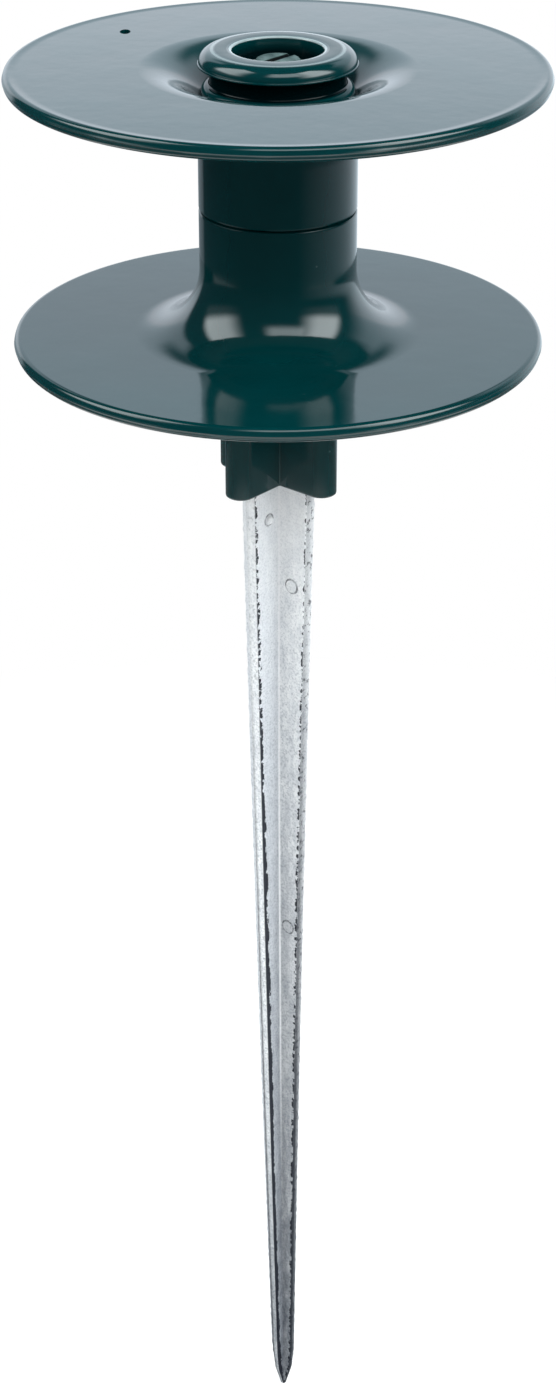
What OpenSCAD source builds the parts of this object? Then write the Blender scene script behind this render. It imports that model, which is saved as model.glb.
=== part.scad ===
// Hose guide stake: two trumpet-shaped roller halves turn freely on a moulded post.
// A die-cast cross-section spike carries the post and is driven into the ground.
// The origin is on the axis at the ground line, under the socket, with +Z up.

/* [Roller halves] */
// Diameter of each flange over its rounded rim
flange_d = 108; // [90:1:130]
// Wall of the moulding, the same in flange, mouth and barrel
roller_wall = 2.8; // [2.2:0.1:3.2]
// Outer diameter of the barrel that the hose runs against
barrel_d = 32; // [31:0.5:40]
// Radius of the fillet that leads from the barrel into the flange
mouth_r = 11.5; // [9:0.5:15]
// Length of one half, from its seam face to the outer face of its flange
half_len = 28.35; // [24:0.05:40]
// Chamfer on the outer edge of the seam face
seam_chamfer = 0.4; // [0.2:0.1:0.8]
// Diameter of the circle on which the moulding gate lies
gate_circle_d = 82.4; // [64:0.2:96]
// Diameter of the pit left by the gate
gate_d = 2.2; // [1.2:0.1:4]
// Depth of the pit left by the gate
gate_depth = 0.8; // [0.3:0.1:1.6]

/* [Socket post] */
// Width of each arm of the cross-shaped socket
arm_w = 6.4; // [5.6:0.1:8]
// Size of the socket over two opposite arms
socket_span = 30.2; // [24:0.2:34]
// Height of the socket from the ground line to the underside of the collar
socket_h = 33.3; // [20:0.1:60]
// Diameter of the collar that carries the lower roller half
collar_d = 30.4; // [29:0.1:33]
// Height of the straight edge of the collar
collar_t = 4; // [2:0.1:6]
// Wall of the round post inside the roller halves
post_wall = 1.6; // [1.2:0.1:2]
// Thickness of the web that closes the top of the socket
web_t = 3; // [2:0.1:5]

/* [Spike] */
// Length of the tapered ribs from the ground line to the start of the point
blade_len = 239; // [120:1:300]
// Length of the point
point_len = 12.2; // [8:0.1:24]
// Size over two opposite ribs at the ground line
blade_span = 18.2; // [14:0.2:20]
// Size over two opposite ribs at the start of the point
blade_end_span = 6; // [4:0.2:10]
// Thickness of a rib at the ground line
rib_t = 3; // [2.4:0.1:3.6]
// Thickness of a rib at the start of the point
rib_end_t = 1.6; // [1.2:0.1:2.2]
// Width of the blunt end of the point
point_w = 1; // [0.8:0.1:1.4]
// Thickness of a rib at the blunt end of the point
rib_tip_t = 0.7; // [0.4:0.1:0.8]
// Where the point has its shoulder, as a share of its length
shoulder_depth_share = 0.5; // [0.3:0.05:0.7]
// Width of the point at its shoulder, as a share of its width at its start
shoulder_width_share = 0.78; // [0.6:0.02:0.9]
// Diameter of the round marks left by the ejector pins
ejector_d = 3.2; // [2:0.1:4]
// Height of those marks above the rib
ejector_h = 0.2; // [0.1:0.05:0.4]

/* [Cap] */
// Diameter of the cap over its lip
cap_d = 31.8; // [31:0.1:36]
// Radius of the rounded outer edge of the cap
cap_edge_r = 2.2; // [1.5:0.1:4]
// Height of the top of the cap above the upper flange
cap_proud = 3.7; // [2:0.1:6]
// Height of the head of the cap above its skirt
cap_head_h = 3.1; // [2.6:0.1:4]
// How far the lip stands out from the rounded edge
lip_w = 0.2; // [0.1:0.05:0.5]
// Height of the lip
lip_h = 0.4; // [0.2:0.1:0.8]
// Height of the groove between the lip and the skirt
groove_h = 3.7; // [1:0.1:4.2]
// Depth of that groove into the skirt
groove_w = 1.6; // [0.6:0.1:2]
// Diameter of the recess around the screw
recess_d = 18.2; // [12:0.1:22]
// Depth of that recess
recess_depth = 4.6; // [3:0.1:5.6]
// Radius of the rounded edge of that recess
recess_edge_r = 0.6; // [0.2:0.1:1]
// Thickness of the cap under the screw head
cap_floor_t = 3; // [2:0.1:4]
// Diameter of the skirt that stands in the throat of the upper half
skirt_d = 30.4; // [29.5:0.1:32]
// Thickness of the skirt at its lower end
skirt_toe = 1.4; // [0.8:0.1:1.8]

/* [Screw] */
// Diameter of the screw thread
screw_d = 4.8; // [4:0.1:5]
// Length of the screw under its head
screw_len = 22; // [14:0.5:40]
// Diameter of the screw head
screw_head_d = 9.2; // [7:0.1:11]
// Height of the screw head
screw_head_h = 2.7; // [2:0.1:3.4]
// Radius of the rounded edge of the screw head
screw_edge_r = 0.9; // [0.3:0.1:1.6]
// Width of the driver slot
slot_w = 1.7; // [0.8:0.1:2]
// Depth of the driver slot
slot_depth = 1.5; // [0.6:0.1:1.8]

/* [Fits] */
// Gap between the turning halves and the pieces that carry them
running_gap = 0.3; // [0.2:0.05:0.5]
// Gap between the two seam faces
seam_gap = 0.3; // [0.2:0.05:0.6]
// Gap between the cap's skirt and the post
skirt_gap = 0.1; // [0.05:0.05:0.3]
// Gap between the spike's tang and its socket
tang_gap = 0.15; // [0.05:0.05:0.3]
// Gap around the screw in the cap and the web
screw_gap = 0.25; // [0.1:0.05:0.5]
// Gap around the screw thread in the tang
thread_gap = 0.05; // [0.02:0.01:0.1]
// Wall of the boss that takes the screw
boss_wall = 1.1; // [0.8:0.1:1.2]

/* [Hidden] */
$fn = 96;
// How far a cut runs past the face that it opens
overrun = 1;
bottle_green = "#0b3b3a";
zinc_grey = "#c3c7ca";
steel_grey = "#8d908f";

// Roller profile, worked out from the barrel outwards
barrel_r = barrel_d / 2;
bore_r = barrel_r - roller_wall;
throat_r = mouth_r + roller_wall;
mouth_c = barrel_r + mouth_r;
rim_r = roller_wall / 2;
mouth_h = half_len - throat_r;

// The post's collar and the cap's skirt follow the two throats at the running gap
post_r = bore_r - running_gap;
seat_r = throat_r + running_gap;
collar_r = collar_d / 2;
skirt_r = skirt_d / 2;
skirt_bore_r = post_r + skirt_gap;
function seat_drop(r) = sqrt(pow(seat_r, 2) - pow(mouth_c - r, 2));

// Heights along the axis
pocket_z = socket_h + collar_t;
lower_mouth_z = pocket_z + seat_drop(collar_r);
seam_z = lower_mouth_z + mouth_h + seam_gap / 2;
upper_mouth_z = 2 * seam_z - lower_mouth_z;
upper_face_z = upper_mouth_z + throat_r;
cap_top_z = upper_face_z + cap_proud;
lip_z = cap_top_z - cap_head_h;
recess_z = cap_top_z - recess_depth;
post_top_z = recess_z - cap_floor_t;
tang_top_z = post_top_z - web_t - tang_gap;
skirt_bottom_z = upper_mouth_z + seat_drop(skirt_bore_r + skirt_toe);

// Spike and screw
thread_r = screw_d / 2 + thread_gap;
clear_r = screw_d / 2 + screw_gap;
boss_r = thread_r + boss_wall;
boss_len = screw_len;
pilot_len = screw_len - cap_floor_t - web_t;
function rib_half(depth) = (rib_t + (rib_end_t - rib_t) * depth / blade_len) / 2;
function reach(depth) = (blade_span + (blade_end_span - blade_span) * depth / blade_len) / 2;
// Places of the ejector marks, as shares of the rib's length and of its reach there
ejector_depth_shares = [0.098, 0.464];
ejector_offset_share = 0.59;

// A cross of four arms with plain ends, wide as given and reaching r from the axis
module plain_cross(w, r) {
    square([2 * r, w], center = true);
    square([w, 2 * r], center = true);
}

// The same cross with full-round arm ends
module round_cross(w, r) {
    plain_cross(w, r - w / 2);
    for (a = [0 : 90 : 270])
        rotate(a) translate([r - w / 2, 0]) circle(d = w);
}

// The circle that sweeps out a throat's running clearance, at height z
module seat_ring(z) {
    rotate_extrude() translate([mouth_c, z]) circle(seat_r);
}

// Section of one roller half: seam face at zero, outer flange face at half_len
module half_section() {
    difference() {
        translate([bore_r, 0]) square([roller_wall, mouth_h]);
        translate([barrel_r, 0]) rotate(45) square(seam_chamfer * sqrt(2), center = true);
    }
    intersection() {
        translate([mouth_c, mouth_h]) difference() {
            circle(throat_r);
            circle(mouth_r);
        }
        translate([bore_r, mouth_h]) square(throat_r);
    }
    translate([mouth_c, half_len - roller_wall])
        square([flange_d / 2 - rim_r - mouth_c, roller_wall]);
    translate([flange_d / 2 - rim_r, half_len - rim_r]) circle(rim_r);
}

// One roller half, moulded in one piece, with the pit of its gate in the outer face
module roller_half() {
    difference() {
        rotate_extrude() half_section();
        translate([-gate_circle_d / 2, 0, half_len - gate_depth])
            cylinder(d = gate_d, h = gate_depth + overrun);
    }
}

// One pair of opposite ribs below the ground line, tapered in reach and in thickness
module blade() {
    shoulder_w = shoulder_width_share * blade_end_span;
    shoulder_z = -blade_len - shoulder_depth_share * point_len;
    tip_z = -blade_len - point_len;
    intersection() {
        rotate([90, 0, 0]) linear_extrude(blade_span, center = true) polygon([
            [-blade_span / 2, 0], [blade_span / 2, 0],
            [blade_end_span / 2, -blade_len], [shoulder_w / 2, shoulder_z],
            [point_w / 2, tip_z], [-point_w / 2, tip_z],
            [-shoulder_w / 2, shoulder_z], [-blade_end_span / 2, -blade_len]
        ]);
        rotate([90, 0, 90]) linear_extrude(blade_span + overrun, center = true) polygon([
            [-rib_t / 2, 0], [rib_t / 2, 0],
            [rib_end_t / 2, -blade_len], [rib_tip_t / 2, tip_z],
            [-rib_tip_t / 2, tip_z], [-rib_end_t / 2, -blade_len]
        ]);
    }
}

// A round mark on the face of one rib, at a depth below the ground line
module ejector_mark(depth) {
    translate([ejector_offset_share * reach(depth), 0, -depth]) rotate([90, 0, 0])
        cylinder(d = ejector_d, h = rib_half(depth) + ejector_h);
}

// Die-cast spike: four tapered ribs, a straight tang in the post, and a boss for the screw
module spike() {
    color(zinc_grey) difference() {
        union() {
            for (a = [0, 90]) rotate(a) blade();
            linear_extrude(tang_top_z) plain_cross(rib_t, blade_span / 2);
            translate([0, 0, tang_top_z - boss_len]) cylinder(r = boss_r, h = boss_len);
            translate([0, 0, tang_top_z - boss_len - boss_r])
                cylinder(r1 = rib_t / 2, r2 = boss_r, h = boss_r);
            for (share = ejector_depth_shares) ejector_mark(share * blade_len);
        }
        translate([0, 0, tang_top_z - pilot_len]) cylinder(r = thread_r, h = pilot_len + overrun);
    }
}

// Moulded post: cross-shaped socket below, collar under the lower half, round post above
module socket_post() {
    color(bottle_green) difference() {
        union() {
            difference() {
                union() {
                    linear_extrude(pocket_z) round_cross(arm_w, socket_span / 2);
                    translate([0, 0, socket_h]) cylinder(r = collar_r, h = lower_mouth_z - socket_h);
                }
                seat_ring(lower_mouth_z);
            }
            translate([0, 0, socket_h]) cylinder(r = post_r, h = post_top_z - socket_h);
        }
        translate([0, 0, pocket_z]) linear_extrude(post_top_z - pocket_z + overrun) difference() {
            circle(post_r - post_wall);
            plain_cross(arm_w, post_r);
        }
        translate([0, 0, -overrun]) linear_extrude(tang_top_z + tang_gap + overrun) {
            plain_cross(rib_t + 2 * tang_gap, blade_span / 2 + tang_gap);
            circle(boss_r + tang_gap);
        }
        cylinder(r = clear_r, h = post_top_z + overrun);
    }
}

module lower_roller() {
    color(bottle_green) translate([0, 0, seam_z - seam_gap / 2]) rotate([180, 0, 0]) roller_half();
}

module upper_roller() {
    color(bottle_green) translate([0, 0, seam_z + seam_gap / 2]) roller_half();
}

// Section of the cap's head, with its rounded edge and thin lip
module head_section() {
    head_r = cap_d / 2 - lip_w;
    difference() {
        translate([0, lip_z]) square([head_r, cap_head_h]);
        translate([head_r - cap_edge_r, cap_top_z - cap_edge_r]) difference() {
            square(cap_edge_r + overrun);
            circle(cap_edge_r);
        }
    }
    translate([0, lip_z]) square([cap_d / 2, lip_h]);
}

// Section of the recess round the screw, with its rounded edge
module recess_section() {
    translate([0, recess_z]) square([recess_d / 2, recess_depth + overrun]);
    translate([recess_d / 2, cap_top_z - recess_edge_r]) difference() {
        square([recess_edge_r, recess_edge_r + overrun]);
        translate([recess_edge_r, 0]) circle(recess_edge_r);
    }
}

// Moulded cap: a button on the post's end whose skirt keeps the upper half from lifting
module cap() {
    color(bottle_green) rotate_extrude() difference() {
        union() {
            head_section();
            translate([0, skirt_bottom_z]) square([skirt_r, lip_z - skirt_bottom_z]);
        }
        recess_section();
        translate([skirt_r - groove_w, lip_z - groove_h]) square([groove_w + overrun, groove_h]);
        translate([mouth_c, upper_mouth_z]) circle(seat_r);
        translate([0, skirt_bottom_z - overrun])
            square([skirt_bore_r, post_top_z - skirt_bottom_z + overrun]);
        translate([0, post_top_z - overrun]) square([clear_r, cap_floor_t + 2 * overrun]);
    }
}

// Slotted screw through the cap and the web into the spike's tang
module cap_screw() {
    head_r = screw_head_d / 2;
    color(steel_grey) translate([0, 0, recess_z]) {
        difference() {
            rotate_extrude() {
                square([head_r - screw_edge_r, screw_head_h]);
                square([head_r, screw_head_h - screw_edge_r]);
                translate([head_r - screw_edge_r, screw_head_h - screw_edge_r]) circle(screw_edge_r);
            }
            translate([-slot_w / 2, -screw_head_d / 2 - overrun, screw_head_h - slot_depth])
                cube([slot_w, screw_head_d + 2 * overrun, slot_depth + overrun]);
        }
        translate([0, 0, -screw_len]) cylinder(d = screw_d, h = screw_len);
    }
}

spike();
socket_post();
lower_roller();
upper_roller();
cap();
cap_screw();
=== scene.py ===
import math
from types import SimpleNamespace

import bmesh
import bpy
from mathutils import Matrix, Vector, noise


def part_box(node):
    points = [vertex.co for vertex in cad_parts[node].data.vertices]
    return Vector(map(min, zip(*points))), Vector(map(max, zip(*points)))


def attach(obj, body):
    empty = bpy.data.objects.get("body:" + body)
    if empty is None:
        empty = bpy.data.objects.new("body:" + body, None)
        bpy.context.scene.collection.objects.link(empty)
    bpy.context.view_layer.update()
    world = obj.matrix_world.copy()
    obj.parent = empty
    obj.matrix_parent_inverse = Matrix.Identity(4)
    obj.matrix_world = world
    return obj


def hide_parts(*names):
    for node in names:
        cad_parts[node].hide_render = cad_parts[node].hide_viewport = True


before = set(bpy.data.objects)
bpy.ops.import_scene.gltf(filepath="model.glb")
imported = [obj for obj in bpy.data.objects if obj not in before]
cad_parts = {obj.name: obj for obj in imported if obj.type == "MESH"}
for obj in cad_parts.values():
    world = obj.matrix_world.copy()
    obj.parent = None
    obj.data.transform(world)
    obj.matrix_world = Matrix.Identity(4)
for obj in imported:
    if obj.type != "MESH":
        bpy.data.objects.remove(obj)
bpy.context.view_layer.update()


# Spike
# A die-cast zinc stake: four ribs in a cross that taper to a short point, with a straight tang above the
# ground line. The die leaves ragged rib corners and round pin marks. The tang is pushed up into the post.
mm = 0.001
full_turn, half_turn, square_turn = 2 * math.pi, math.pi, math.pi / 2
round_profile = 0.5
soft_crease = math.radians(34)
# Places nearer than touching are one place, and a face whose normal rises less than wall_lean is a wall.
touching = 0.001 * mm
wall_lean = 0.5
spike_low, spike_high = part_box("spike")
rib_reach, rib_half = spike_high.x, 1.5 * mm
end_reach, end_half = 3 * mm, 0.8 * mm
shoulder_depth_share, shoulder_width_share = 0.5, 0.78
tip_reach, tip_half = 0.5 * mm, 0.35 * mm
point_top = -239 * mm
tip_bow = 1.4 * mm
camera_turn = math.radians(40.5)
picture_right = Vector((math.cos(camera_turn), math.sin(camera_turn), 0))
corner_round, corner_steps = 0.34 * mm, 2
valley_round, valley_steps = 0.55 * mm, 3
blade_levels, point_levels = 238, 12
ragged_depth, ragged_length = 0.22 * mm, 0.9 * mm
boss_half, pilot_half, boss_steps = 3.55 * mm, 2.45 * mm, 48
boss_length, pilot_length = 22 * mm, 16 * mm
pin_half, pin_proud, pin_sunk, pin_steps = 1.6 * mm, 0.24 * mm, 0.6 * mm, 40
pin_ring, pin_dish = 0.42 * mm, 0.22 * mm
pin_edge, pin_edge_steps, pin_edge_turn = 0.09 * mm, 2, 1.0
pin_depths, pin_offset_share = (23.4 * mm, 110.9 * mm), 0.59
nub_half, nub_place = 0.95 * mm, Vector((1.45, -4.65, -7.7)) * mm
nub_rounds, nub_rows, nub_ring_share = 24, 12, 1.35
clear_of_lines = 3 * mm
sharp = (0, 0)
# Noted on each vertex: how far it lies from its rib's end and from the valley, and whether it is on a right
# rib, on a face with a painted shade line at its corner, or on the side of a rib that is turned outwards in
# the picture.
noted = ("from_end", "from_valley", "right_rib", "lined_face", "outer_side")


def rib_at(height):
    """Reach and half thickness of a rib at a height."""
    if height >= 0:
        return rib_reach, rib_half
    if height >= point_top:
        share = height / point_top
        return rib_reach + (end_reach - rib_reach) * share, rib_half + (end_half - rib_half) * share
    share = (height - point_top) / (spike_low.z - point_top)
    half = end_half + (tip_half - end_half) * share
    shoulder_reach = end_reach * shoulder_width_share
    if share < shoulder_depth_share:
        return end_reach + (shoulder_reach - end_reach) * share / shoulder_depth_share, half
    past = (share - shoulder_depth_share) / (1 - shoulder_depth_share)
    return shoulder_reach + (tip_reach - shoulder_reach) * past, half


def bow_at(height):
    """How far the slightly bent spike has strayed from the axis at a height."""
    return picture_right * tip_bow * (min(height, 0) / spike_low.z) ** 2


def pin_place(depth):
    """Where a pin mark sits on its rib face, at a depth below the ground line."""
    reach, half = rib_at(-depth)
    return Vector((pin_offset_share * reach, -half, -depth))


def drawn_in(place, reach, half):
    """A place across the straight cross, carried to a level of another reach and thickness."""
    size = abs(place)
    if size <= rib_half:
        size *= half / rib_half
    else:
        size = half + (size - rib_half) * (reach - half) / (rib_reach - rib_half)
    return math.copysign(size, place)


def upright(edge):
    """True for an edge that runs along the axis."""
    start, end = (v.co for v in edge.verts)
    return abs(start.z - end.z) > touching and (start - end).xy.length < touching


def rounded(shape, parts, size, steps, affect="EDGES"):
    """Rounds edges or corners of a shape."""
    return bmesh.ops.bevel(
        shape, geom=parts, offset=size, offset_type="OFFSET", segments=steps,
        profile=round_profile, affect=affect, material=-1)


def cut_level(shape, height):
    """Cuts a level ring of edges through a shape."""
    bmesh.ops.bisect_plane(
        shape, geom=shape.verts[:] + shape.edges[:] + shape.faces[:],
        plane_co=(0, 0, height), plane_no=(0, 0, 1))


def turned(corners, steps):
    """Turns a closed section of (radius, height, rounding, rounding steps) corners once round the axis."""
    shape = bmesh.new()
    points = [shape.verts.new((radius, 0, height)) for radius, height, *_ in corners]
    shape.faces.new(points)
    for point, (_, _, size, rounds) in zip(points, corners):
        if size:
            rounded(shape, [point], size, rounds, "VERTICES")
    bmesh.ops.delete(shape, geom=shape.faces[:], context="FACES_ONLY")
    bmesh.ops.spin(
        shape, geom=shape.verts[:] + shape.edges[:], cent=(0, 0, 0), axis=(0, 0, 1),
        angle=full_turn, steps=steps, use_merge=True)
    bmesh.ops.remove_doubles(shape, verts=shape.verts[:], dist=touching)
    bmesh.ops.recalc_face_normals(shape, faces=shape.faces[:])
    return shape


def poured_in(shape, other):
    """Adds another shape's shell to a shape."""
    spare = bpy.data.meshes.new("spare")
    other.to_mesh(spare)
    other.free()
    shape.from_mesh(spare)
    bpy.data.meshes.remove(spare)


def piece(name, shape, material):
    """Makes a named object of a shape, smooth apart from its sharp edges."""
    for face in shape.faces:
        face.smooth = True
    for edge in shape.edges:
        edge.smooth = len(edge.link_faces) == 2 and edge.calc_face_angle(0) < soft_crease
    mesh = bpy.data.meshes.new(name)
    shape.to_mesh(mesh)
    shape.free()
    mesh.materials.append(material)
    made = bpy.data.objects.new(name, mesh)
    bpy.context.scene.collection.objects.link(made)
    return made


def cross_shape():
    """The straight cross of four ribs, rounded in its corners and cut into levels below the ground line."""
    shape = bmesh.new()
    bmesh.ops.create_cube(shape, size=1)
    bmesh.ops.scale(
        shape, vec=(2 * rib_half, 2 * rib_half, spike_high.z - spike_low.z), verts=shape.verts[:])
    bmesh.ops.translate(shape, vec=(0, 0, (spike_high.z + spike_low.z) / 2), verts=shape.verts[:])
    for side in [f for f in shape.faces if abs(f.normal.z) < wall_lean]:
        outwards = side.normal.copy()
        rib = bmesh.ops.extrude_discrete_faces(shape, faces=[side])["faces"][0]
        bmesh.ops.translate(shape, vec=outwards * (rib_reach - rib_half), verts=rib.verts[:])
    corners = [e for e in shape.edges if upright(e) and e.verts[0].co.xy.length > 2 * rib_half]
    valleys = [e for e in shape.edges if upright(e) and e not in corners]
    rounded(shape, corners, corner_round, corner_steps)
    rounded(shape, [e for e in valleys if e.is_valid], valley_round, valley_steps)
    cut_level(shape, 0)
    cut_level(shape, point_top)
    for top, bottom, levels in ((0, point_top, blade_levels), (point_top, spike_low.z, point_levels)):
        inside = [e for e in shape.edges if upright(e)
                  and all(bottom - touching < v.co.z < top + touching for v in e.verts)]
        bmesh.ops.subdivide_edges(shape, edges=inside, cuts=levels, use_grid_fill=True)
    return shape


def drawn_down(shape):
    """Tapers the cross to its point, roughens its corners and notes what the zinc's colour needs."""
    from_end, from_valley, right_rib, lined_face, outer_side = (
        shape.verts.layers.float.new(name) for name in noted)
    for vert in shape.verts:
        reach, half = rib_at(vert.co.z)
        far, near = max(abs(vert.co.x), abs(vert.co.y)), min(abs(vert.co.x), abs(vert.co.y))
        at_side = near > rib_half - corner_round
        on_corner = at_side and touching < rib_reach - far < corner_round - touching
        vert.co.x, vert.co.y = (drawn_in(c, reach, half) for c in vert.co.xy)
        vert[from_end] = reach - max(abs(vert.co.x), abs(vert.co.y))
        vert[from_valley] = max(abs(vert.co.x), abs(vert.co.y)) - half
        vert[right_rib] = float(vert.co.x + vert.co.y > touching)
        vert[lined_face] = float(at_side and vert.co.x > touching and vert.co.y < -touching)
        vert[outer_side] = float(vert.co.x * vert.co.y > 0)
        if on_corner and vert.co.z < 0:
            outwards = Vector((math.copysign(1, vert.co.x), math.copysign(1, vert.co.y), 0))
            along = Vector((outwards.x, outwards.y, vert.co.z / ragged_length))
            vert.co += outwards * ragged_depth * noise.noise(along) * half / rib_half


def pin_shape(depth):
    """The round mark of an ejector pin, with a dished face, in its place on the rib."""
    shape = bmesh.new()
    bmesh.ops.create_cone(
        shape, cap_ends=True, segments=pin_steps, radius1=pin_half, radius2=pin_half,
        depth=pin_proud + pin_sunk, matrix=Matrix.Rotation(square_turn, 4, "X"))
    face = min(shape.faces, key=lambda f: f.calc_center_median().y)
    bmesh.ops.inset_region(shape, faces=[face], thickness=pin_ring, depth=-pin_dish)
    rims = [e for e in shape.edges
            if all(v.co.y < 0 for v in e.verts) and e.calc_face_angle(0) > pin_edge_turn]
    rounded(shape, rims, pin_edge, pin_edge_steps)
    sunk = Vector((0, (pin_sunk - pin_proud) / 2, 0))
    bmesh.ops.translate(shape, vec=pin_place(depth) + sunk, verts=shape.verts[:])
    return shape


def nub_shape():
    """The small round nub on the left rib, just under the socket."""
    shape = bmesh.new()
    bmesh.ops.create_uvsphere(shape, u_segments=nub_rounds, v_segments=nub_rows, radius=nub_half)
    bmesh.ops.translate(shape, vec=nub_place, verts=shape.verts[:])
    return shape


def boss_shape():
    """The round boss at the top of the tang, with the pilot hole for the screw."""
    top = spike_high.z
    boss_low, hole_low = top - boss_length, top - pilot_length
    return turned([
        (pilot_half, hole_low, *sharp), (pilot_half, top, *sharp),
        (boss_half, top, *sharp), (boss_half, boss_low, *sharp),
        (rib_half, boss_low - boss_half, *sharp), (touching, boss_low - boss_half, *sharp),
        (touching, hole_low, *sharp)], boss_steps)


def spike_shape():
    """The cross drawn down to its point, with its pin marks, nub and screw boss, and slightly bowed."""
    shape = cross_shape()
    drawn_down(shape)
    plain_count = len(shape.verts)
    for added in [pin_shape(depth) for depth in pin_depths] + [nub_shape(), boss_shape()]:
        poured_in(shape, added)
    from_end, from_valley, right_rib, *_ = (shape.verts.layers.float[name] for name in noted)
    for number, vert in enumerate(shape.verts):
        if number >= plain_count:
            vert[from_end] = vert[from_valley] = clear_of_lines
            vert[right_rib] = 1
        vert.co += bow_at(vert.co.z)
    return shape


def put(tree, kind, feeds=None, **settings):
    """Adds a node, gives it its settings, and feeds its sockets from other nodes or with plain values."""
    made = tree.nodes.new(kind)
    for name, value in settings.items():
        setattr(made, name, value)
    for socket, value in (feeds or {}).items():
        if isinstance(value, bpy.types.NodeSocket):
            tree.links.new(value, made.inputs[socket])
        else:
            made.inputs[socket].default_value = value
    return made


def ranged(tree, value, low, high, to_low=0.0, to_high=1.0):
    """Carries a value from one range to another, held at its ends."""
    feeds = {"Value": value, "From Min": low, "From Max": high, "To Min": to_low, "To Max": to_high}
    return put(tree, "ShaderNodeMapRange", feeds).outputs["Result"]


def between(tree, mask, at_none, at_all):
    """Goes from one value where a mask is empty to another where it is full."""
    return ranged(tree, mask, 0.0, 1.0, at_none, at_all)


def inverted(tree, mask):
    """A mask with its empty and full places swapped."""
    return ranged(tree, mask, 1.0, 0.0)


def worked(tree, operation, *values):
    """One step of arithmetic on values."""
    return put(tree, "ShaderNodeMath", dict(enumerate(values)), operation=operation).outputs[0]


def times(tree, first, *others):
    """Values multiplied together."""
    for other in others:
        first = worked(tree, "MULTIPLY", first, other)
    return first


def laid_over(tree, under, over, share):
    """One colour laid over another by a share, on the mix node's colour sockets."""
    feeds = {mix_share: share, mix_under: under, mix_over: over}
    return put(tree, "ShaderNodeMix", feeds, data_type="RGBA").outputs[mix_colour]


def noise_on(tree, place, scale, detail, roughness):
    """Soft noise over places."""
    feeds = {"Vector": place, "Scale": scale, "Detail": detail, "Roughness": roughness}
    return put(tree, "ShaderNodeTexNoise", feeds).outputs["Fac"]


def ring_line(tree, away, radius, width):
    """A soft line where a distance is near a radius."""
    off = worked(tree, "ABSOLUTE", worked(tree, "SUBTRACT", away, radius))
    return ranged(tree, off, width, width / 2)


def bumped(tree, height, strength, depth, under=None):
    """A normal that follows a height, over another normal if one is given."""
    feeds = {"Height": height, "Strength": strength, "Distance": depth}
    if under is not None:
        feeds["Normal"] = under
    return put(tree, "ShaderNodeBump", feeds).outputs["Normal"]


mix_share, mix_under, mix_over, mix_colour = 0, 6, 7, 2
cloud_detail, cloud_roughness = 3.0, 0.55
grain_detail, grain_roughness = 4.0, 0.65
mottle_span = (0.3, 0.7)


def mottle_group():
    """A shared effect: soft clouds, fine grain and loose specks over a surface."""
    group = bpy.data.node_groups.new("surface mottle", "ShaderNodeTree")
    group.interface.new_socket(name="Place", in_out="INPUT", socket_type="NodeSocketVector")
    for name in ("Cloud scale", "Grain scale", "Speck scale", "Speck size"):
        group.interface.new_socket(name=name, in_out="INPUT", socket_type="NodeSocketFloat")
    for name in ("Cloud", "Grain", "Speck"):
        group.interface.new_socket(name=name, in_out="OUTPUT", socket_type="NodeSocketFloat")
    given = put(group, "NodeGroupInput").outputs
    cloud = noise_on(group, given["Place"], given["Cloud scale"], cloud_detail, cloud_roughness)
    grain = noise_on(group, given["Place"], given["Grain scale"], grain_detail, grain_roughness)
    specks = put(group, "ShaderNodeTexVoronoi", {
        "Vector": given["Place"], "Scale": given["Speck scale"], "Randomness": 1.0})
    put(group, "NodeGroupOutput", {
        "Cloud": ranged(group, cloud, *mottle_span),
        "Grain": ranged(group, grain, *mottle_span),
        "Speck": worked(group, "LESS_THAN", specks.outputs["Distance"], given["Speck size"])})
    return group


surface_mottle = mottle_group()


def mottled(tree, place, cloud_size, grain_size, speck_gap, speck_size):
    """Places the shared mottle in a material: size of clouds and grain, and gap and share of specks."""
    feeds = {"Place": place, "Cloud scale": 1 / cloud_size, "Grain scale": 1 / grain_size,
             "Speck scale": 1 / speck_gap, "Speck size": speck_size}
    return put(tree, "ShaderNodeGroup", feeds, node_tree=surface_mottle).outputs


def new_material(name):
    """A material with an empty tree, its surface shader and its output."""
    material = bpy.data.materials.new(name)
    material.use_nodes = True
    tree = material.node_tree
    tree.nodes.clear()
    shader = put(tree, "ShaderNodeBsdfPrincipled")
    put(tree, "ShaderNodeOutputMaterial", {"Surface": shader.outputs["BSDF"]})
    return material, tree, shader


def surfaced(tree, shader, colour, roughness, normal):
    """Feeds a surface shader its colour, roughness and normal."""
    for socket, value in (("Base Color", colour), ("Roughness", roughness), ("Normal", normal)):
        tree.links.new(value, shader.inputs[socket])


# The zinc's finish. Heights are below the ground line, and shares say how much of a colour is laid on.
bright_zinc, dull_zinc, grain_zinc = (0.97, 0.97, 0.97, 1), (0.60, 0.62, 0.66, 1), (0.33, 0.35, 0.39, 1)
# Painted highlight along the valleys, and painted shade that darkens the faces towards the point.
valley_highlight_zinc, shade_zinc = (0.98, 0.98, 0.98, 1), (0.07, 0.08, 0.10, 1)
# Painted shade along the rib corners, round the marks and on the rib ends. The first colour also darkens
# casting pits.
pit_and_shade_zinc, shaded_end_zinc = (0.008, 0.010, 0.018, 1), (0.022, 0.026, 0.034, 1)
zinc_mottle = (6 * mm, 0.5 * mm, 3 * mm, 0.07)
streak_scale = (1, 1, 0.35)
scuff_size, scuff_detail, scuff_roughness = 1.6 * mm, 5.0, 0.7
dot_size, dot_detail, dot_roughness = 1.1 * mm, 3.0, 0.6
end_skin = 0.03 * mm
# Painted light: the dulling is lessened near the top of the spike.
handled_heights, handled_shares = (-5 * mm, -60 * mm), (0.35, 1.0)
scuff_span, scuff_shares = (0.4, 0.7), (0.0, 0.6)
cloud_span, cloud_shares = (0.2, 1.0), (0.0, 0.35)
grain_span, grain_shares = (0.4, 0.95), (0.0, 0.7)
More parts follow.
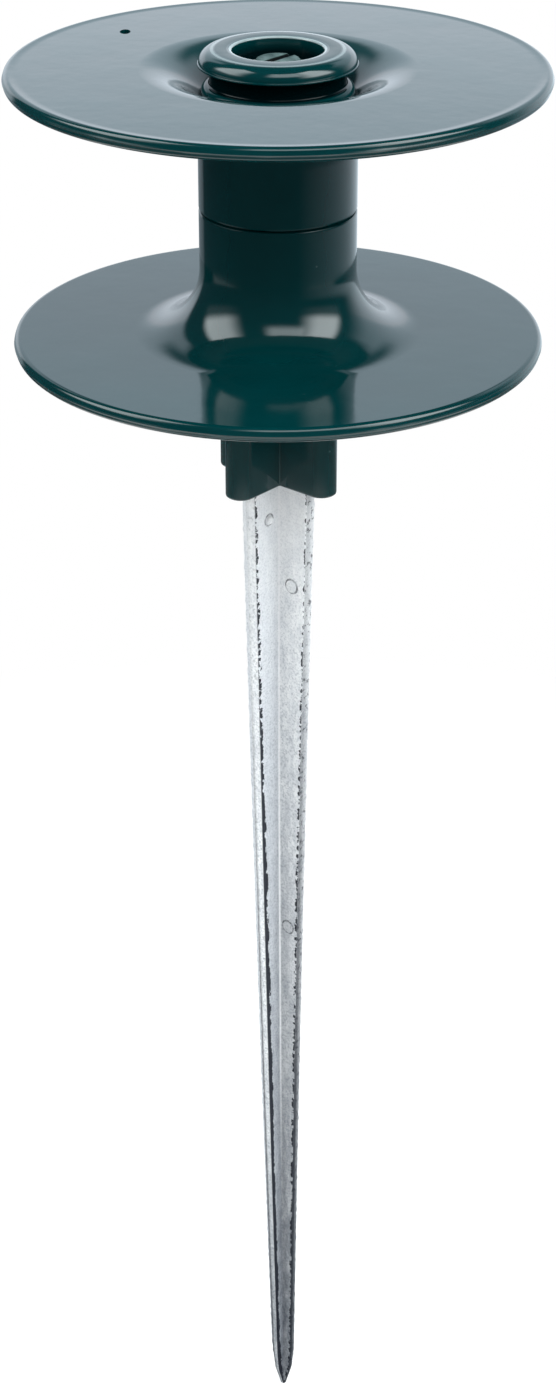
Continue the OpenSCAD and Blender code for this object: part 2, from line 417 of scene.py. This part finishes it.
# Painted shade: the left rib's faces are dulled.
left_shade_share = 0.7
lower_heights = (-110 * mm, -225 * mm)
# Painted shade darkening the faces towards the point, less so near the left rib's ends.
shade_heights, shade_margin = (-25 * mm, -225 * mm), (0.3 * mm, 1.6 * mm)
shade_end_shares = (0.3, 0.75)
patch_span, patch_shares = (0.35, 0.65), (0.72, 0.95)
# Painted highlight: a bright line along the valleys, fading out low down.
valley_width, valley_heights, valley_share = (0.45 * mm, 0.15 * mm), (-190 * mm, -120 * mm), 0.8
# Painted shade on the rib ends: the right one darkened, the left one along its outer corner.
dark_end_heights, dark_end_shares = (0.0, -170 * mm), (0.35, 0.97)
dark_end_span, dark_end_fade = (0.3, 0.9), (1.0, 0.4)
edge_span, edge_heights, edge_shares = (0.6, 0.95), (-30 * mm, -130 * mm), (0.15, 0.85)
pit_span, pit_shares = (0.56, 0.66), (0.25, 0.8)
# Painted shade: dark lines along the rib corners, and a ring round each pin mark and the nub.
line_heights, line_widths, line_share = (-5 * mm, -95 * mm), (0.5 * mm, 1.2 * mm), 0.97
lower_line_shares, right_line_shares = (1.0, 0.85), (1.0, 0.45)
solid_heights = (-45 * mm, -90 * mm)
wave_span, wave_lows, wave_high = (0.36, 0.6), (-0.6, 0.55), 1.25
mark_line, mark_span, mark_shares = 0.24 * mm, (0.4, 0.6), (0.25, 0.8)
zinc_roughness, zinc_metallic, zinc_shine = (0.42, 0.6), 0.25, 0.2
scuff_strength, scuff_depth = 0.7, 0.22 * mm
grain_strength, grain_depth = 0.6, 0.12 * mm
# The pin marks and the nub each get a painted ring of shade.
marks = [(pin_place(depth) + bow_at(-depth), pin_half) for depth in pin_depths]
marks.append((nub_place, nub_ring_share * nub_half))


def zinc_faces(tree, seen):
    """Bright zinc dulled by scuffs, clouds and grain. Painted shade darkens its left rib and its faces
    towards the point, painted light lessens the dulling near the top, and a painted highlight runs along the
    valleys.
    """
    # Painted light: near the top the scuffs, grain and left-face shade are laid on more thinly.
    scuffed = times(tree, seen.handled, ranged(tree, seen.scuffs, *scuff_span, *scuff_shares))
    colour = laid_over(tree, bright_zinc, dull_zinc, scuffed)
    colour = laid_over(tree, colour, dull_zinc, ranged(tree, seen.cloud, *cloud_span, *cloud_shares))
    # Painted shade on the left rib's faces.
    left_shade = times(tree, seen.left_rib, seen.past_end, seen.handled, left_shade_share)
    colour = laid_over(tree, colour, dull_zinc, left_shade)
    grainy = times(tree, seen.handled, ranged(tree, seen.grain, *grain_span, *grain_shares))
    colour = laid_over(tree, colour, grain_zinc, grainy)
    # Painted shade: the faces darken towards the point, less so near the left rib's ends.
    near_end = ranged(tree, seen.height, *lower_heights, *shade_end_shares)
    face = ranged(tree, seen.from_end, *shade_margin, near_end, 1.0)
    face = worked(tree, "MAXIMUM", face, seen.right)
    patchy = ranged(tree, seen.scuffs, *patch_span, *patch_shares)
    shade = times(tree, ranged(tree, seen.height, *shade_heights), face, patchy)
    colour = laid_over(tree, colour, shade_zinc, shade)
    # Painted highlight along the valleys.
    valley = ranged(tree, seen.from_valley, *valley_width)
    valley = times(tree, valley, ranged(tree, seen.height, *valley_heights), valley_share)
    return laid_over(tree, colour, valley_highlight_zinc, valley)


def zinc_ends(tree, seen, colour):
    """Pitted rib ends with painted shade: the right one dark and fading outwards, the left one dark along its
    outer corner.
    """
    # Painted shade on the right rib's end, fading outwards.
    dark_end = times(tree, seen.rib_ends, seen.right,
                     ranged(tree, seen.height, *dark_end_heights, *dark_end_shares),
                     ranged(tree, seen.outer, *dark_end_span, *dark_end_fade))
    colour = laid_over(tree, colour, shaded_end_zinc, dark_end)
    # Painted shade along the left rib end's outer corner.
    edge = times(tree, seen.rib_ends, seen.left_rib, ranged(tree, seen.outer, *edge_span),
                 ranged(tree, seen.height, *edge_heights, *edge_shares))
    colour = laid_over(tree, colour, shaded_end_zinc, edge)
    pits = ranged(tree, seen.dots, *pit_span, 0.0, between(tree, seen.right, *pit_shares))
    return laid_over(tree, colour, pit_and_shade_zinc, times(tree, seen.rib_ends, pits))


def painted_shade_lines(tree, seen, colour):
    """Painted shade: dark lines along the rib corners, broken at the top and solid below, and a ring round
    each mark.
    """
    # Painted shade along the rib corners.
    width = times(tree, ranged(tree, seen.height, *line_heights, *line_widths),
                  ranged(tree, seen.height, *lower_heights, *lower_line_shares),
                  between(tree, seen.right, *right_line_shares))
    solid = times(tree, ranged(tree, seen.height, *solid_heights), seen.left_rib)
    raggedness = between(tree, solid, seen.dots, seen.scuffs)
    wave = ranged(tree, raggedness, *wave_span, between(tree, solid, *wave_lows), wave_high)
    inside = worked(tree, "LESS_THAN", seen.from_end, times(tree, width, wave))
    colour = laid_over(tree, colour, pit_and_shade_zinc, times(tree, inside, seen.lined, line_share))
    broken = ranged(tree, seen.dots, *mark_span, *mark_shares)
    # Painted shade ring round each pin mark and the nub.
    for centre, radius in marks:
        away = put(tree, "ShaderNodeVectorMath", {0: seen.place, 1: centre}, operation="DISTANCE")
        ring = ring_line(tree, away.outputs["Value"], radius, mark_line)
        colour = laid_over(tree, colour, pit_and_shade_zinc, times(tree, ring, broken))
    return colour


def zinc_material():
    """Grainy cast zinc with painted shade, light and highlights, whose colour follows the height and what is
    noted on the spike's vertices.
    """
    material, tree, shader = new_material("cast zinc")
    place = put(tree, "ShaderNodeTexCoord").outputs["Object"]
    seen = SimpleNamespace(place=place)
    seen.height = put(tree, "ShaderNodeSeparateXYZ", {"Vector": place}).outputs["Z"]
    seen.from_end, seen.from_valley, seen.right, seen.lined, seen.outer = (
        put(tree, "ShaderNodeAttribute", attribute_name=name).outputs["Fac"] for name in noted)
    mottle = mottled(tree, place, *zinc_mottle)
    seen.cloud, seen.grain = mottle["Cloud"], mottle["Grain"]
    streaks = put(tree, "ShaderNodeMapping", {"Vector": place, "Scale": streak_scale}).outputs["Vector"]
    seen.scuffs = noise_on(tree, streaks, 1 / scuff_size, scuff_detail, scuff_roughness)
    seen.dots = noise_on(tree, place, 1 / dot_size, dot_detail, dot_roughness)
    seen.past_end = worked(tree, "GREATER_THAN", seen.from_end, end_skin)
    seen.rib_ends = inverted(tree, seen.past_end)
    seen.left_rib = inverted(tree, seen.right)
    # Painted light near the top, which lowers the dulling there.
    seen.handled = ranged(tree, seen.height, *handled_heights, *handled_shares)
    colour = painted_shade_lines(tree, seen, zinc_ends(tree, seen, zinc_faces(tree, seen)))
    scuffed = bumped(tree, seen.scuffs, scuff_strength, scuff_depth)
    grainy = bumped(tree, seen.grain, grain_strength, grain_depth, scuffed)
    surfaced(tree, shader, colour, between(tree, seen.grain, *zinc_roughness), grainy)
    shader.inputs["Metallic"].default_value = zinc_metallic
    shader.inputs["Specular IOR Level"].default_value = zinc_shine
    return material


spike = piece("spike_casting", spike_shape(), zinc_material())
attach(spike, "stake")
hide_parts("spike")


# Socket post
# A green plastic moulding whose cross-shaped socket grips the spike's tang. Above the socket a collar carries
# the lower roller half, and a round post runs up through both halves. The mould rounds its outer corners.
bottle_green, cloudy_green = (0.0, 0.0215, 0.0235, 1), (0.0, 0.0255, 0.028, 1)
dust_grey, dust_share = (0.05, 0.09, 0.09, 1), 0.5
green_mottle = (14 * mm, 0.35 * mm, 7 * mm, 0.03)
green_roughness, full_shine, plastic_ior = (0.07, 0.12), 0.5, 1.5
ripple_strength, ripple_depth = 0.35, 0.06 * mm
skin_strength, skin_depth = 0.05, 0.01 * mm
flat_within = math.radians(0.1)
socket_round, socket_steps = 0.5 * mm, 3
inner_round, inner_steps = 0.2 * mm, 3
arm_half = 3.2 * mm


def green_material(name, shine, painted_light=None):
    """Glossy bottle green plastic, faintly clouded, rippled and dusty, with a piece's own painted shade and
    highlights if any.
    """
    material, tree, shader = new_material(name)
    place = put(tree, "ShaderNodeTexCoord").outputs["Object"]
    mottle = mottled(tree, place, *green_mottle)
    colour = laid_over(tree, bottle_green, cloudy_green, mottle["Cloud"])
    colour = laid_over(tree, colour, dust_grey, times(tree, mottle["Speck"], dust_share))
    if painted_light:
        colour = painted_light(tree, place, colour)
    rippled = bumped(tree, mottle["Cloud"], ripple_strength, ripple_depth)
    skin = bumped(tree, mottle["Grain"], skin_strength, skin_depth, rippled)
    surfaced(tree, shader, colour, between(tree, mottle["Cloud"], *green_roughness), skin)
    shader.inputs["IOR"].default_value = plastic_ior
    shader.inputs["Specular IOR Level"].default_value = shine
    return material


def copied(node):
    """A merged copy of a CAD node's mesh, with its flat faces made whole."""
    shape = bmesh.new()
    shape.from_mesh(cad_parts[node].data)
    bmesh.ops.remove_doubles(shape, verts=shape.verts[:], dist=touching)
    bmesh.ops.dissolve_limit(
        shape, angle_limit=flat_within, verts=shape.verts[:], edges=shape.edges[:])
    return shape


def socket_outline(edge):
    """True for an edge round the outside of the socket's lower end."""
    if any(abs(v.co.z) > touching for v in edge.verts):
        return False
    middle = (edge.verts[0].co + edge.verts[1].co) / 2
    walls = [f for f in edge.link_faces if abs(f.normal.z) < wall_lean]
    return bool(walls) and walls[0].normal.dot(middle) > 0


bottle_green_plastic = green_material("bottle green plastic", full_shine)
post_shape = copied("socket_post")
inner_corners = [e for e in post_shape.edges if upright(e) and all(
    abs(abs(c) - arm_half) < touching for c in e.verts[0].co.xy)]
rounded(post_shape, inner_corners, inner_round, inner_steps)
rounded(post_shape, [e for e in post_shape.edges if socket_outline(e)], socket_round, socket_steps)
post = piece("post_moulding", post_shape, bottle_green_plastic)
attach(post, "stake")
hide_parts("socket_post")


# Roller halves
# Two like mouldings of the same green plastic, each a flange, a trumpet mouth and half of the barrel in one
# wall. The mould leaves a parting line round the rim and a gate pit. One is turned over, and both run loose
# on the post.
lower_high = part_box("lower_roller")[1]
upper_low, upper_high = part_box("upper_roller")
half_length = upper_high.z - upper_low.z
flange_reach = upper_high.x
roller_wall, roller_steps = 2.8 * mm, 240
barrel_reach, bore_reach = 16 * mm, 13.2 * mm
mouth_round, throat_round, mouth_steps = 13.4 * mm, 14.3 * mm, 28
rim_round, rim_steps = 1.12 * mm, 7
lip_rise, lip_width, lip_hold = 0.21 * mm, 2.2 * mm, 1.4 * mm
lip_foot, lip_foot_steps = 0.5 * mm, 3
seam_chamfer, seam_steps = 0.4 * mm, 2
bead_rises, bead_ragged, bead_waves = (0.07 * mm, 0.15 * mm, 0.07 * mm), 0.08 * mm, 9
gate_place, gate_half, gate_depth = 41.2 * mm, 1.1 * mm, 0.8 * mm
gate_cuts, gate_margin = 3, 1.05
# The pit is drawn as an oval, longer in the direction of the camera, because it looks so in the photo.
gate_turn, gate_oval = Matrix.Rotation(camera_turn, 3, "Z"), Matrix.Diagonal((1.0, 1.65, 1))
gate_stretch = gate_turn @ gate_oval @ gate_turn.transposed()
# Rings of edges cut beside the roundings and through the gate.
throat_rings, rim_rings = (27.7 * mm, 29.6 * mm), (51.0 * mm, 52.7 * mm)
gate_rings = (gate_place - gate_half, gate_place, gate_place + gate_half)
seam_ring, mouth_margin = 0.55 * mm, 0.25 * mm
mouth_ring = half_length - roller_wall - mouth_round - mouth_margin


def only_verts(parts):
    """The vertices among the parts of a shape."""
    return [p for p in parts if isinstance(p, bmesh.types.BMVert)]


def ringed(shape, radius):
    """Cuts a ring of edges round a shape's flat faces, by carrying each crossing point to the radius."""
    crossing = [e for e in shape.edges if abs(e.verts[0].co.z - e.verts[1].co.z) < touching
                and (e.verts[0].co.xy.length - radius) * (e.verts[1].co.xy.length - radius) < 0]
    made = bmesh.ops.subdivide_edges(shape, edges=crossing, cuts=1)
    for vert in only_verts(made["geom_inner"]):
        vert.co.xy = vert.co.xy.normalized() * radius


def beaded(shape):
    """Raises the ragged parting bead round the rim."""
    lands = [e for e in shape.edges if upright(e) and e.verts[0].co.xy.length > flange_reach - touching]
    made = bmesh.ops.subdivide_edges(shape, edges=lands, cuts=len(bead_rises))
    bead = only_verts(made["geom_inner"])
    heights = sorted({round(v.co.z / touching) for v in bead})
    for vert in bead:
        outwards = Vector((vert.co.x, vert.co.y, 0)).normalized()
        ragged = bead_ragged * max(0, noise.noise(outwards * bead_waves))
        vert.co += outwards * (bead_rises[heights.index(round(vert.co.z / touching))] + ragged)


def gated(shape):
    """Sinks the oval gate pit into the flange."""
    centre = Vector((-gate_place, 0, half_length))
    patch = [f for f in shape.faces if f.normal.z > wall_lean
             and (f.calc_center_median() - centre).length < gate_half]
    patch_edges = list(dict.fromkeys(e for f in patch for e in f.edges))
    bmesh.ops.subdivide_edges(shape, edges=patch_edges, cuts=gate_cuts, use_grid_fill=True)
    reach = gate_half * gate_margin
    patch = [f for f in shape.faces if f.normal.z > wall_lean and all(
        abs(v.co.x - centre.x) < reach and abs(v.co.y) < reach and abs(v.co.z - centre.z) < touching
        for v in f.verts)]
    border = [e for f in patch for e in f.edges if any(g not in patch for g in e.link_faces)]
    for vert in {v for e in border for v in e.verts}:
        vert.co = centre + gate_stretch @ (vert.co - centre).normalized() * gate_half
    sunk = bmesh.ops.extrude_face_region(shape, geom=patch)["geom"]
    bmesh.ops.translate(shape, vec=(0, 0, -gate_depth), verts=only_verts(sunk))
    bmesh.ops.delete(shape, geom=[f for f in patch if f.is_valid], context="FACES_ONLY")


def roller_shape():
    """One half, its seam face at zero height and its flange above. The rings keep its flats shaded flat."""
    shape = turned([
        (bore_reach, 0, *sharp),
        (barrel_reach, 0, seam_chamfer, seam_steps),
        (barrel_reach, half_length - roller_wall, mouth_round, mouth_steps),
        (flange_reach, half_length - roller_wall, rim_round, rim_steps),
        (flange_reach, half_length + lip_rise, rim_round, rim_steps),
        (flange_reach - lip_hold, half_length + lip_rise * (1 - lip_hold / lip_width), *sharp),
        (flange_reach - lip_width, half_length, lip_foot, lip_foot_steps),
        (bore_reach, half_length, throat_round, mouth_steps)], roller_steps)
    for height in (seam_ring, mouth_ring):
        cut_level(shape, height)
    for radius in throat_rings + gate_rings + rim_rings:
        ringed(shape, radius)
    beaded(shape)
    gated(shape)
    return shape


lower_shape = roller_shape()
turned_over = Matrix.Translation((0, 0, lower_high.z)) @ Matrix.Rotation(half_turn, 4, "X")
bmesh.ops.transform(lower_shape, matrix=turned_over, verts=lower_shape.verts[:])
lower_half = piece("lower_half_moulding", lower_shape, bottle_green_plastic)
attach(lower_half, "lower_half")
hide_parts("lower_roller")

upper_shape = roller_shape()
bmesh.ops.translate(upper_shape, vec=(0, 0, upper_low.z), verts=upper_shape.verts[:])
upper_half = piece("upper_half_moulding", upper_shape, bottle_green_plastic)
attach(upper_half, "upper_half")
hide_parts("upper_roller")


# Cap
# A button moulded in the same green plastic, in the upper throat, with a softly rounded edge over a thin lip
# and a round recess for the screw. Its skirt goes over the post and keeps the upper half from lifting.
cap_low, cap_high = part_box("cap")
cap_steps = 160
lip_reach = cap_high.x
lip_low, lip_top = cap_high.z - 3.1 * mm, cap_high.z - 2.7 * mm
lip_root_round, lip_edge_round = (0.05 * mm, 2), (0.12 * mm, 3)
brow_reach, brow_round, brow_steps = 15.7 * mm, 2.2 * mm, 14
recess_reach, recess_floor = 9.1 * mm, cap_high.z - 4.6 * mm
recess_foot_round, recess_edge_round = (0.4 * mm, 4), (0.3 * mm, 6)
crown_width, crown_slope, crown_hold = 0.9 * mm, math.tan(math.radians(8)), 0.12 * mm
crown_drop = crown_hold * crown_slope
face_inner, face_outer = recess_reach + crown_width, brow_reach - brow_round - crown_width
inner_drop, outer_drop = crown_width * crown_slope, (brow_reach - face_outer) * crown_slope
neck_reach, groove_low, groove_round = 13.6 * mm, lip_low - 3.7 * mm, (0.4 * mm, 4)
skirt_reach, skirt_low, skirt_round = 15.2 * mm, 81.43 * mm, (1.3 * mm, 8)
toe_reach, skirt_bore = 14.4 * mm, 13 * mm
cap_underside, screw_hole = cap_high.z - 7.6 * mm, 2.65 * mm
# Painted shade in the recess and the groove.
recess_shade_green = (0.0, 0.004, 0.005, 1)
recess_shade_heights = (cap_high.z - 0.8 * mm, cap_high.z - 3 * mm)
recess_shade_radii = (14.6 * mm, 14.2 * mm)
# Painted highlights: pale rings at the recess edge and at the face's outer edge.
painted_highlight_green = (0.42, 0.50, 0.51, 1)
highlight_rings, highlight_width = ((recess_reach + 0.25 * mm, 0.6), (face_outer + 0.45 * mm, 0.3)), 0.4 * mm
highlight_heights = (cap_high.z - 0.5 * mm, cap_high.z - 0.3 * mm)
face_shine, groove_shine, groove_foot = 0.17, 0.12, 1.0 * mm
dulled_slot, shaded_groove_slot = 1, 2
across_only = (1, 1, 0)


def from_axis(tree, place):
    """How far places lie from the axis."""
    flat = put(tree, "ShaderNodeVectorMath", {0: place, 1: across_only}, operation="MULTIPLY").outputs[0]
    return put(tree, "ShaderNodeVectorMath", {0: flat}, operation="LENGTH").outputs["Value"]


def cap_shade_and_highlights(tree, place, colour):
    """Painted shade down in the recess and the groove, and painted highlights as pale rings on the edges."""
    height = put(tree, "ShaderNodeSeparateXYZ", {"Vector": place}).outputs["Z"]
    radius = from_axis(tree, place)
    # Painted shade in the recess and the groove.
    sunk = times(tree, ranged(tree, height, *recess_shade_heights), ranged(tree, radius, *recess_shade_radii))
    colour = laid_over(tree, colour, recess_shade_green, sunk)
    # Painted highlights round the recess edge and the face's outer edge.
    on_top = ranged(tree, height, *highlight_heights)
    for ring, share in highlight_rings:
        line = times(tree, ring_line(tree, radius, ring, highlight_width), on_top, share)
        colour = laid_over(tree, colour, painted_highlight_green, line)
    return colour


cap_shape = turned([
    (screw_hole, cap_underside, *sharp), (screw_hole, recess_floor, *sharp),
    (recess_reach, recess_floor, *recess_foot_round),
    (recess_reach, cap_high.z - inner_drop, *recess_edge_round),
    (face_inner - crown_hold, cap_high.z - crown_drop, *sharp), (face_inner + crown_hold, cap_high.z, *sharp),
    (face_outer - crown_hold, cap_high.z, *sharp), (face_outer + crown_hold, cap_high.z - crown_drop, *sharp),
    (brow_reach, cap_high.z - outer_drop, brow_round, brow_steps), (brow_reach, lip_top, *lip_root_round),
    (lip_reach, lip_top, *lip_edge_round), (lip_reach, lip_low, *lip_edge_round),
    (neck_reach, lip_low, *groove_round), (neck_reach, groove_low, *groove_round),
    (skirt_reach, groove_low, *skirt_round), (skirt_reach, skirt_low, *sharp),
    (toe_reach, cap_low.z, *sharp), (skirt_bore, cap_low.z, *sharp),
    (skirt_bore, cap_underside, *sharp)], cap_steps)
for face in cap_shape.faces:
    middle = face.calc_center_median()
    if middle.z > cap_high.z - touching:
        face.material_index = dulled_slot
    elif groove_low - groove_foot < middle.z < lip_low - touching and middle.xy.length > skirt_bore:
        face.material_index = shaded_groove_slot
cap = piece("cap_button", cap_shape, green_material("cap green plastic", full_shine, cap_shade_and_highlights))
cap.data.materials.append(green_material("dulled green plastic", face_shine))
cap.data.materials.append(green_material("shaded groove green plastic", groove_shine, cap_shade_and_highlights))
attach(cap, "stake")
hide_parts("cap")


# Screw
# A slotted steel screw with a dull grey-green plating. It goes through the cap and the post's web into the
# tang and holds the whole stake together.
# The last colour is painted shade in the slot.
plated, worn_plate, slot_shade = (0.02, 0.05, 0.047, 1), (0.10, 0.155, 0.15, 1), (0.002, 0.004, 0.005, 1)
screw_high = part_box("cap_screw")[1]
screw_mottle = (2.2 * mm, 0.3 * mm, 1.5 * mm, 0.08)
screw_roughness, screw_metallic, screw_shine = (0.4, 0.6), 0.2, 0.2
plate_strength, plate_depth = 0.3, 0.05 * mm
slot_shade_heights = (screw_high.z - 0.01 * mm, screw_high.z - 0.12 * mm)
slot_half, slot_edge_turn = 0.85 * mm, 0.6
slot_round, slot_steps = 0.12 * mm, 2


def screw_material():
    """Dull plated steel, worn lighter in patches, with painted shade in the slot."""
    material, tree, shader = new_material("plated screw steel")
    place = put(tree, "ShaderNodeTexCoord").outputs["Object"]
    mottle = mottled(tree, place, *screw_mottle)
    colour = laid_over(tree, plated, worn_plate, mottle["Cloud"])
    along = put(tree, "ShaderNodeSeparateXYZ", {"Vector": place}).outputs
    # Painted shade in the slot, below the head's top.
    in_slot = worked(tree, "LESS_THAN", worked(tree, "ABSOLUTE", along["X"]), slot_half + touching)
    shaded_slot = times(tree, in_slot, ranged(tree, along["Z"], *slot_shade_heights))
    colour = laid_over(tree, colour, slot_shade, shaded_slot)
    grainy = bumped(tree, mottle["Grain"], plate_strength, plate_depth)
    surfaced(tree, shader, colour, between(tree, mottle["Grain"], *screw_roughness), grainy)
    shader.inputs["Metallic"].default_value = screw_metallic
    shader.inputs["Specular IOR Level"].default_value = screw_shine
    return material


screw_shape = copied("cap_screw")
slot_edges = [e for e in screw_shape.edges if e.calc_face_angle(0) > slot_edge_turn
              and all(abs(abs(v.co.x) - slot_half) < touching for v in e.verts)]
rounded(screw_shape, slot_edges, slot_round, slot_steps)
screw = piece("screw_slotted", screw_shape, screw_material())
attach(screw, "stake")
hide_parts("cap_screw")


# Floor
# A round white table under the point, pale enough to run into the white surroundings. Its middle keeps the
# shadow of the stake. Mirrored in the plastic it is dim, apart from a bright ring that lights the rims.
floor_reach, floor_steps = 0.5, 96
floor_white = (0.94, 0.94, 0.94, 1)
plain_radii, plain_shares = (0.05, 0.4), (0.7, 1.0)
ring_inside, ring_glows = (0.1, 0.2), (0.12, 1.9)
ring_outside, ring_shares = (0.24, 0.36), (1.0, 0.12)


def floor_material():
    """Matt white that shows as plain white further out."""
    material = bpy.data.materials.new("white table")
    material.use_nodes = True
    tree = material.node_tree
    tree.nodes.clear()
    radius = from_axis(tree, put(tree, "ShaderNodeTexCoord").outputs["Object"])
    path = put(tree, "ShaderNodeLightPath").outputs
    seen = worked(tree, "MAXIMUM", path["Is Camera Ray"], path["Is Transmission Ray"])
    shown = times(tree, seen, ranged(tree, radius, *plain_radii, *plain_shares))
    share = worked(tree, "MAXIMUM", shown, path["Is Glossy Ray"])
    mirrored = times(tree, ranged(tree, radius, *ring_inside, *ring_glows),
                     ranged(tree, radius, *ring_outside, *ring_shares))
    glow = between(tree, path["Is Glossy Ray"], 1.0, mirrored)
    matt = put(tree, "ShaderNodeBsdfDiffuse", {"Color": floor_white})
    white = put(tree, "ShaderNodeEmission", {"Strength": glow})
    mixed = put(tree, "ShaderNodeMixShader", {0: share, 1: matt.outputs[0], 2: white.outputs[0]})
    put(tree, "ShaderNodeOutputMaterial", {"Surface": mixed.outputs[0]})
    return material


floor_shape = bmesh.new()
bmesh.ops.create_circle(floor_shape, cap_ends=True, segments=floor_steps, radius=floor_reach)
bmesh.ops.translate(floor_shape, vec=(0, 0, spike_low.z), verts=floor_shape.verts[:])
floor = piece("white_table", floor_shape, floor_material())


# Light
# A white room seen only in reflections: a backdrop that is brightest a little above the horizon, a dark
# ceiling, a dim camera side, and three soft panels high in front. The camera itself sees plain white behind
# the stake. Bearings are counted from the camera's side and rises from the horizon, both in degrees.
to_camera = Vector((math.sin(camera_turn), -math.cos(camera_turn), 0))
plain_white, dim_room, fill_room = (1, 1, 1, 1), (0.045, 0.060, 0.075, 1), (0.60, 0.60, 0.60, 1)
ramp_rises = (-20, 50)
backdrop_bands = (
    (-20, (1.00, 1.17, 1.30, 1)), (-8, (1.10, 1.26, 1.38, 1)), (0, (1.30, 1.42, 1.56, 1)),
    (8, (1.42, 1.55, 1.72, 1)), (14, (1.46, 1.57, 1.73, 1)), (17, (1.12, 1.29, 1.45, 1)),
    (20, (1.05, 1.22, 1.38, 1)), (40, (1.05, 1.22, 1.38, 1)), (46, (0.02, 0.02, 0.02, 1)))
right_low_bearings, right_low_rises, right_low_shares = (30, 140), (-24, -16), (0.4, 1.0)
right_high_bearings, right_turn_rises = (100, 135), (-12, 0)
left_bearings, left_rises = (-134, -142), (-30, 6)
hole_bearings, hole_rises, hole_share = (146, 164), (26, 36), 0.9
# A panel's left and right bearings, the rises over which its dim foot and its face come in, and its glow.
panels = (
    ((-114, -102), (-48, -78), (3, 12), (14, 27), (5.4, 5.8, 5.9, 1)),
    ((-26, -6), (44, 34), (30, 36), (33, 45), (3.9, 4.2, 4.3, 1)),
    ((26, 60), (96, 82), (3, 12), (14, 27), (6.9, 7.3, 7.4, 1)))
foot_share, panel_tops = 0.06, (67, 64)

world = bpy.data.worlds.new("white room")
world.use_nodes = True
bpy.context.scene.world = world
room = world.node_tree
room.nodes.clear()


def eased(value, low, high):
    """A smooth step in the room from none at one angle to all at another, in degrees."""
    feeds = {"Value": value, "From Min": math.radians(low), "From Max": math.radians(high)}
    return put(room, "ShaderNodeMapRange", feeds, interpolation_type="SMOOTHSTEP").outputs["Result"]


def evenly(value, low, high):
    """An even step in the room from none at one angle to all at another, in degrees."""
    return ranged(room, value, math.radians(low), math.radians(high))


way = put(room, "ShaderNodeTexCoord").outputs["Generated"]
across, ahead = (
    put(room, "ShaderNodeVectorMath", {0: way, 1: axis}, operation="DOT_PRODUCT").outputs["Value"]
    for axis in (picture_right, to_camera))
bearing = worked(room, "ARCTAN2", across, ahead)
rise = worked(room, "ARCSINE", put(room, "ShaderNodeSeparateXYZ", {"Vector": way}).outputs["Z"])
path = put(room, "ShaderNodeLightPath").outputs

backdrop = put(room, "ShaderNodeValToRGB", {"Fac": evenly(rise, *ramp_rises)})
stops = backdrop.color_ramp.elements
while len(stops) < len(backdrop_bands):
    stops.new(0)
for stop, (angle, colour) in zip(stops, backdrop_bands):
    stop.position = (angle - ramp_rises[0]) / (ramp_rises[1] - ramp_rises[0])
    stop.color = colour
to_side = worked(room, "ABSOLUTE", bearing)
hole = times(room, eased(to_side, *hole_bearings), eased(rise, *hole_rises), hole_share)
backdrop_colour = laid_over(room, backdrop.outputs["Color"], dim_room, hole)

right_low = times(room, evenly(bearing, *right_low_bearings),
                  between(room, eased(rise, *right_low_rises), *right_low_shares))
right_high = eased(bearing, *right_high_bearings)
right_side = between(room, eased(rise, *right_turn_rises), right_low, right_high)
left_side = times(room, eased(bearing, *left_bearings), eased(rise, *left_rises))
behind = worked(room, "MAXIMUM", right_side, left_side)
camera_side = laid_over(room, fill_room, dim_room, path["Is Glossy Ray"])
surroundings = laid_over(room, camera_side, backdrop_colour, behind)

for left_bearing, right_bearing, foot_rises, face_rises, glow in panels:
    foot = times(room, eased(rise, *foot_rises), foot_share)
    face = between(room, eased(rise, *face_rises), foot, 1.0)
    panel = times(room, eased(bearing, *left_bearing), eased(bearing, *right_bearing), face,
                  eased(rise, *panel_tops))
    surroundings = laid_over(room, surroundings, glow, panel)
shown = laid_over(room, surroundings, plain_white, path["Is Camera Ray"])
shine = put(room, "ShaderNodeBackground", {"Color": shown})
put(room, "ShaderNodeOutputWorld", {"Surface": shine.outputs[0]})


# Camera
# It stands where the photograph was taken from.
# Its place and lens were fitted to the outlines of the flanges and the spike's tip.
camera_reach, camera_height = 528.6 * mm, 232.5 * mm
camera_tilt = math.radians(28.25)
film_width, focal_length = 36, 70.72
lens = bpy.data.cameras.new("camera")
lens.sensor_width, lens.lens = film_width, focal_length
camera = bpy.data.objects.new("camera", lens)
camera.location = to_camera * camera_reach + Vector((0, 0, camera_height))
camera.rotation_euler = (square_turn - camera_tilt, 0, camera_turn)
bpy.context.scene.collection.objects.link(camera)
bpy.context.scene.camera = camera
bpy.context.scene.view_settings.view_transform = "Standard"
